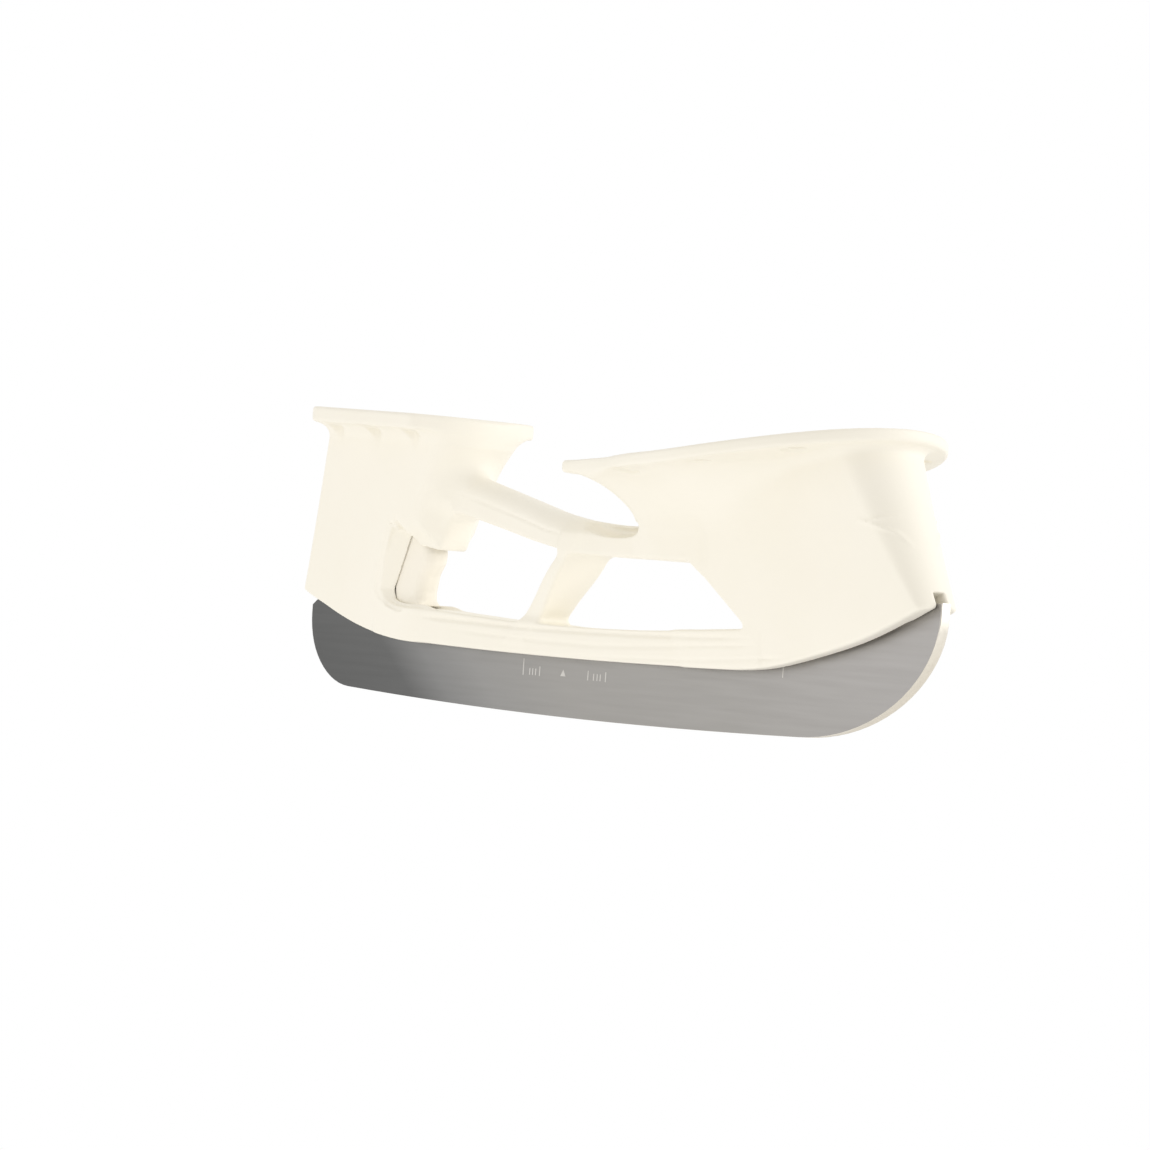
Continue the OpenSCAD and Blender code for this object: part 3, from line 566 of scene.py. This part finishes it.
# Steel runner
def side_outline(node):
    """The outline of a flat node's far side, as points in order, in metres, and that side's place."""
    mesh = frame["nodes"][node].data
    digits, close = 7, 1e-6
    key = [tuple(round(c, digits) for c in v.co) for v in mesh.vertices]
    far = max(k[1] for k in key)
    edges = set()
    for face in mesh.polygons:
        loop = [key[i] for i in face.vertices]
        if all(abs(k[1] - far) < close for k in loop):
            edges.update(zip(loop, loop[1:] + loop[:1]))
    after = {a: b for a, b in sorted(edges) if (b, a) not in edges}
    best = []
    while after:
        loop = [next(iter(after))]
        while loop[-1] in after:
            loop.append(after.pop(loop[-1]))
        best = max(best, loop, key=len)
    return np.array([(k[0], k[2]) for k in best[:-1]]), far


def inset(points, d):
    """A closed line moved inward by d, which may differ from point to point."""
    area = np.sum(points[:, 0] * np.roll(points[:, 1], -1) - np.roll(points[:, 0], -1) * points[:, 1])
    way = np.roll(points, -1, 0) - points
    way /= np.linalg.norm(way, axis=1)[:, None]
    side = np.stack([-way[:, 1], way[:, 0]], 1) * np.sign(area)
    mitre = side + np.roll(side, 1, 0)
    sharpest = 0.5
    mitre /= np.maximum(np.sum(mitre * mitre, 1), sharpest)[:, None] / 2
    return points + mitre * d[:, None]


def close_mesh(name, points, faces, sharp):
    """A mesh with outward faces, smooth except across edges sharper than the angle."""
    mesh = bpy.data.meshes.new(name)
    mesh.from_pydata(points, [], faces)
    bm = bmesh.new()
    bm.from_mesh(mesh)
    bmesh.ops.triangulate(bm, faces=[f for f in bm.faces if len(f.verts) > 4])
    bmesh.ops.recalc_face_normals(bm, faces=bm.faces)
    for edge in bm.edges:
        edge.smooth = edge.calc_face_angle(0) < sharp
    for face in bm.faces:
        face.smooth = True
    bm.to_mesh(mesh)
    bm.free()
    return show(name, mesh)


# Rows across the steel's edge: the share of its half-thickness, of the chamfer and of the hollow grind
chamfer, grind = 0.25 * METRE, 0.16 * METRE
steel_rows = ((1, 1, 0), (0.84, 0, 0), (0.5, 0, 0.75), (0, 0, 1),
              (-0.5, 0, 0.75), (-0.84, 0, 0), (-1, 1, 0))
# The hollow grind fades in below the holder's edge and at the heel, and leaves little of the chamfer
ice_below, ice_run, ice_heel, ice_heel_run, ice_chamfer = 4, 2, 1, 4, 0.15
sharp = math.radians(24)
line, half_t = side_outline("runner")
line_x, line_z = line[:, 0] * MM, line[:, 1] * MM
ice = ease((edge_z(line_x) - ice_below - line_z) / ice_run)
ice = ice * ease((line_x - heel_x + ice_heel) / ice_heel_run)
rows = []
for across, chamfered, ground in steel_rows:
    points = inset(line, chamfered * chamfer * mix(1, ice_chamfer, ice) + ground * grind * ice)
    rows.append(np.stack([points[:, 0], np.full(len(points), across * half_t), points[:, 1]], 1))
count = len(line)
faces = [list(range(count)), [(len(rows) - 1) * count + i for i in reversed(range(count))]]
for row in range(len(rows) - 1):
    for i in range(count):
        j = (i + 1) % count
        faces.append([row * count + i, (row + 1) * count + i, (row + 1) * count + j, row * count + j])
runner = close_mesh("runner_blade", np.concatenate(rows), faces, sharp)


# Fine ticks and a small triangle on both sides of the steel
def tick(x, low, high):
    return [(x - tick_half, low), (x + tick_half, low), (x + tick_half, high), (x - tick_half, high)]


tick_half, tick_sunk, tick_proud = 0.19, 0.06, 0.015
long_tick, long_x = (10.6, 13.2), (-21.5, 1, 9)
short_tick, short_x = (10.7, 12.5), (-26.2, -24.8, -23.4, 3.6, 5.2, 6.6)
heel_tick, toe_tick = (-29.3, 10.5, 15), (83.6, 15.8, 18.4)
triangle = [(-11.7, 11.1), (-9.3, 11.1), (-10.5, 12.9)]
marks = [triangle, tick(*heel_tick), tick(*toe_tick)]
marks += [tick(x, *long_tick) for x in long_x]
marks += [tick(x, *short_tick) for x in short_x]
points, faces = [], []
for mark in marks:
    for side in (-1, 1):
        n, k = len(mark), len(points)
        for out in (steel_t / 2 - tick_sunk, steel_t / 2 + tick_proud):
            points += [(x * METRE, side * out * METRE, z * METRE) for x, z in mark]
        faces += [list(range(k, k + n)), list(range(k + 2 * n - 1, k + n - 1, -1))]
        faces += [[k + i, k + n + i, k + n + (i + 1) % n, k + (i + 1) % n] for i in range(n)]
tick_marks = close_mesh("runner_ticks", points, faces, sharp)


# Finishes
noise_low, noise_high = 0.3, 0.7
cloud_scale, sheen_scale, moulded_scale = 28, 160, 2600
metal_scale, grind_scale, satin_scale, floor_scale = 300, 900, 700, 3
satin_grain = (0.04, 1, 1)
bump_h = 0.1 * METRE


def finish(name, build):
    """A material whose nodes are made by build."""
    material = bpy.data.materials.new(name)
    material.use_nodes = True
    tree = material.node_tree
    build(tree.nodes, tree.links, tree.nodes["Principled BSDF"])
    return material


def place(nodes):
    return nodes.new("ShaderNodeTexCoord").outputs["Object"]


def noise(nodes, links, scale, detail=3, stretch=(1, 1, 1)):
    turn = nodes.new("ShaderNodeMapping")
    turn.inputs["Scale"].default_value = stretch
    links.new(place(nodes), turn.inputs["Vector"])
    texture = nodes.new("ShaderNodeTexNoise")
    texture.inputs["Scale"].default_value = scale
    texture.inputs["Detail"].default_value = detail
    links.new(turn.outputs["Vector"], texture.inputs["Vector"])
    return texture.outputs["Fac"]


def ramp(nodes, links, value, stops):
    """Colours along a value, from pairs of place and colour."""
    node = nodes.new("ShaderNodeValToRGB")
    while len(node.color_ramp.elements) < len(stops):
        node.color_ramp.elements.new(0.5)
    for element, (at, colour) in zip(node.color_ramp.elements, stops):
        element.position = at
        element.color = (*colour, 1)
    links.new(value, node.inputs["Fac"])
    return node.outputs["Color"]


def tones(nodes, links, value, dark, light):
    """Two colours over the range that noise covers."""
    return ramp(nodes, links, value, [(noise_low, dark), (noise_high, light)])


def spread(nodes, links, value, low, high, start=noise_low, end=noise_high):
    """A value taken from the range start to end into the range low to high."""
    node = nodes.new("ShaderNodeMapRange")
    for socket, number in (("From Min", start), ("From Max", end), ("To Min", low), ("To Max", high)):
        node.inputs[socket].default_value = number
    links.new(value, node.inputs["Value"])
    return node.outputs["Result"]


def bump(nodes, links, shader, value, strength):
    node = nodes.new("ShaderNodeBump")
    node.inputs["Strength"].default_value = strength
    node.inputs["Distance"].default_value = bump_h
    links.new(value, node.inputs["Height"])
    links.new(node.outputs["Normal"], shader.inputs["Normal"])


def plastic(light, dark, rough):
    """Moulded nylon with a faint cloud of tone and a fine grain."""
    def build(nodes, links, shader):
        cloud, sheen = noise(nodes, links, cloud_scale), noise(nodes, links, sheen_scale)
        links.new(tones(nodes, links, cloud, dark, light), shader.inputs["Base Color"])
        links.new(spread(nodes, links, sheen, rough - 0.04, rough + 0.05), shader.inputs["Roughness"])
        bump(nodes, links, shader, noise(nodes, links, moulded_scale, 2), 0.06)
        shader.inputs["IOR"].default_value = 1.5
        shader.inputs["Specular IOR Level"].default_value = 0.3
    return build


def metal(light, dark, rough, grain):
    """Bright steel with fine lines along the long way of its grain."""
    def build(nodes, links, shader):
        shader.inputs["Metallic"].default_value = 1
        cloud, lines = noise(nodes, links, metal_scale), noise(nodes, links, grind_scale, 4, grain)
        links.new(tones(nodes, links, cloud, dark, light), shader.inputs["Base Color"])
        links.new(spread(nodes, links, lines, rough - 0.05, rough + 0.07), shader.inputs["Roughness"])
        bump(nodes, links, shader, lines, 0.05)
    return build


def satin_runner_painted_reflection(nodes, links, shader):
    """Satin steel whose flat sides carry a painted reflection, dark at the heel and lighter toward the toe, while
    the ground edge takes a bright steel colour.
    """
    shader.inputs["Metallic"].default_value = 1
    # The fade along the steel, slanted with height, is a painted reflection and not a colour of the steel itself.
    split = nodes.new("ShaderNodeSeparateXYZ")
    links.new(place(nodes), split.inputs["Vector"])
    lean = nodes.new("ShaderNodeMath")
    lean.operation = "MULTIPLY_ADD"
    lean.inputs[1].default_value = painted_reflection_lean
    links.new(split.outputs["Z"], lean.inputs[0])
    links.new(split.outputs["X"], lean.inputs[2])
    lines = noise(nodes, links, satin_scale, 4, satin_grain)
    along = spread(nodes, links, lean.outputs["Value"], 0, 1, heel_x * METRE, toe_x * METRE)
    side = ramp(nodes, links, along, painted_reflection_fade)
    normal = nodes.new("ShaderNodeSeparateXYZ")
    links.new(nodes.new("ShaderNodeNewGeometry").outputs["True Normal"], normal.inputs["Vector"])
    flat = nodes.new("ShaderNodeMath")
    flat.operation = "ABSOLUTE"
    links.new(normal.outputs["Y"], flat.inputs[0])
    blend = nodes.new("ShaderNodeMix")
    blend.data_type = "RGBA"
    links.new(spread(nodes, links, flat.outputs["Value"], 0, 1, start=0.5, end=0.9), blend.inputs["Factor"])
    links.new(tones(nodes, links, lines, *steel_edge), blend.inputs["A"])
    links.new(side, blend.inputs["B"])
    links.new(blend.outputs["Result"], shader.inputs["Base Color"])
    links.new(spread(nodes, links, lines, 0.34, 0.44), shader.inputs["Roughness"])
    bump(nodes, links, shader, lines, 0.03)


# Painted reflection: the steel's flat sides go from dark at the heel to lighter at the toe, along a slanted line.
painted_reflection_lean = 1.2
steel_edge = (0.74, 0.70, 0.62), (0.80, 0.76, 0.68)
painted_reflection_fade = [(0.0, (0.093, 0.093, 0.091)), (0.21, (0.113, 0.113, 0.111)), (0.28, (0.207, 0.205, 0.2)),
              (0.36, (0.263, 0.257, 0.247)), (0.5, (0.299, 0.288, 0.271)), (0.75, (0.313, 0.301, 0.284)),
              (1.0, (0.342, 0.328, 0.315))]
ivory = finish("ivory_plastic", plastic((0.95, 0.92, 0.84), (0.93, 0.90, 0.81), 0.45))
lever_ivory = finish("trigger_plastic", plastic((0.94, 0.905, 0.82), (0.92, 0.88, 0.79), 0.47))
blade = finish("satin_runner_painted_reflection", satin_runner_painted_reflection)
etched = finish("etched_steel", metal((0.62, 0.60, 0.57), (0.56, 0.54, 0.51), 0.55, (1, 1, 1)))
pin = finish("ground_pin", metal((0.62, 0.63, 0.65), (0.52, 0.53, 0.55), 0.24, (1, 0.1, 1)))
wire = finish("spring_wire", metal((0.52, 0.51, 0.49), (0.40, 0.39, 0.37), 0.3, (1, 1, 1)))
latch = finish("pressed_latch", metal((0.58, 0.59, 0.60), (0.48, 0.49, 0.50), 0.36, (1, 1, 0.1)))


def give(obj, material):
    obj.data.materials.clear()
    obj.data.materials.append(material)


for obj, carrier, node, slot_name, material in (
        (holder, "holder", "holder_body", "ivory_nylon", ivory),
        (trigger, "release", "trigger", "trigger_nylon", lever_ivory),
        (runner, "steel", "runner", "runner_steel", blade),
        (tick_marks, "steel", None, "runner_steel", etched)):
    give(obj, material)
    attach(obj, carrier)
    if node:
        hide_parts(node)
for node, slot_name, material in (
        ("toe_anchor_pin", "pin_steel", pin), ("trigger_pin", "pin_steel", pin),
        ("trigger_spring", "spring_steel", wire), ("latch_plate", "latch_steel", latch),
        ("latch_rivets", "latch_steel", latch)):
    give(frame["nodes"][node], material)

# World: soft light, and white where the camera or a reflection looks past the object
scene = bpy.context.scene
scene.view_settings.view_transform = "Standard"
scene.world = bpy.data.worlds.new("studio")
scene.world.use_nodes = True
nodes, links = scene.world.node_tree.nodes, scene.world.node_tree.links
glow = nodes["Background"]
glow.inputs["Color"].default_value = (1, 0.97, 0.92, 1)
glow.inputs["Strength"].default_value = 0.82
white = nodes.new("ShaderNodeBackground")
white.inputs["Color"].default_value = (1, 1, 1, 1)
white.inputs["Strength"].default_value = 1
path = nodes.new("ShaderNodeLightPath")
seen = path.outputs["Is Camera Ray"]
for ray in ("Is Glossy Ray", "Is Transmission Ray"):
    either = nodes.new("ShaderNodeMath")
    either.operation = "MAXIMUM"
    links.new(seen, either.inputs[0])
    links.new(path.outputs[ray], either.inputs[1])
    seen = either.outputs["Value"]
pick = nodes.new("ShaderNodeMixShader")
links.new(seen, pick.inputs["Fac"])
links.new(glow.outputs["Background"], pick.inputs[1])
links.new(white.outputs["Background"], pick.inputs[2])
links.new(pick.outputs["Shader"], nodes["World Output"].inputs["Surface"])


# Floor, below the picture's frame
def pale(nodes, links, shader):
    tone = tones(nodes, links, noise(nodes, links, floor_scale), (0.90, 0.90, 0.90), (0.93, 0.93, 0.93))
    links.new(tone, shader.inputs["Base Color"])
    shader.inputs["Roughness"].default_value = 0.9


floor_r, floor_z, floor_sides = 0.75, -0.3, 96
mesh = bpy.data.meshes.new("floor")
turns = np.linspace(0, 2 * math.pi, floor_sides, endpoint=False)
ring = [(floor_r * math.cos(a), floor_r * math.sin(a), floor_z) for a in turns]
mesh.from_pydata(ring, [], [range(floor_sides)])
floor = show("floor", mesh)
give(floor, finish("pale_floor", pale))


# Lamps, round the point that the camera aims at
aim = Vector((-0.01025, 0, 0.03872))


def area_light(name, at, size, power, target):
    lamp = bpy.data.lights.new(name, "AREA")
    lamp.shape = "RECTANGLE"
    lamp.size, lamp.size_y = size
    lamp.energy = power
    obj = bpy.data.objects.new(name, lamp)
    obj.location = at
    obj.rotation_euler = (target - Vector(at)).to_track_quat("-Z", "Y").to_euler()
    obj.visible_camera = False
    scene.collection.objects.link(obj)


area_light("key_right", (0.75, 0.75, 0.35), (0.9, 0.9), 4.5, aim)
area_light("fill_left", (-0.6, -0.85, 0.2), (1.0, 0.6), 1.0, aim)
area_light("fill_low", (0.05, -0.32, -0.28), (0.6, 0.4), 0.55, Vector((0.05, -0.32, 0)))

# Camera
az, el, roll, distance = math.radians(54.23), math.radians(-0.66), math.radians(4), 1.0004
out = Vector((math.sin(az) * math.cos(el), -math.cos(az) * math.cos(el), math.sin(el)))
right = (-out).cross(Vector((0, 0, 1))).normalized()
up = out.cross(right)
right, up = right * math.cos(roll) + up * math.sin(roll), up * math.cos(roll) - right * math.sin(roll)
lens = bpy.data.cameras.new("camera")
lens.sensor_width = 36
lens.lens = 115.43
lens.clip_start = 0.05
lens.clip_end = 20
camera = bpy.data.objects.new("camera", lens)
turned = Matrix((right, up, out)).transposed().to_4x4()
camera.matrix_world = Matrix.Translation(aim + out * distance) @ turned
scene.collection.objects.link(camera)
scene.camera = camera
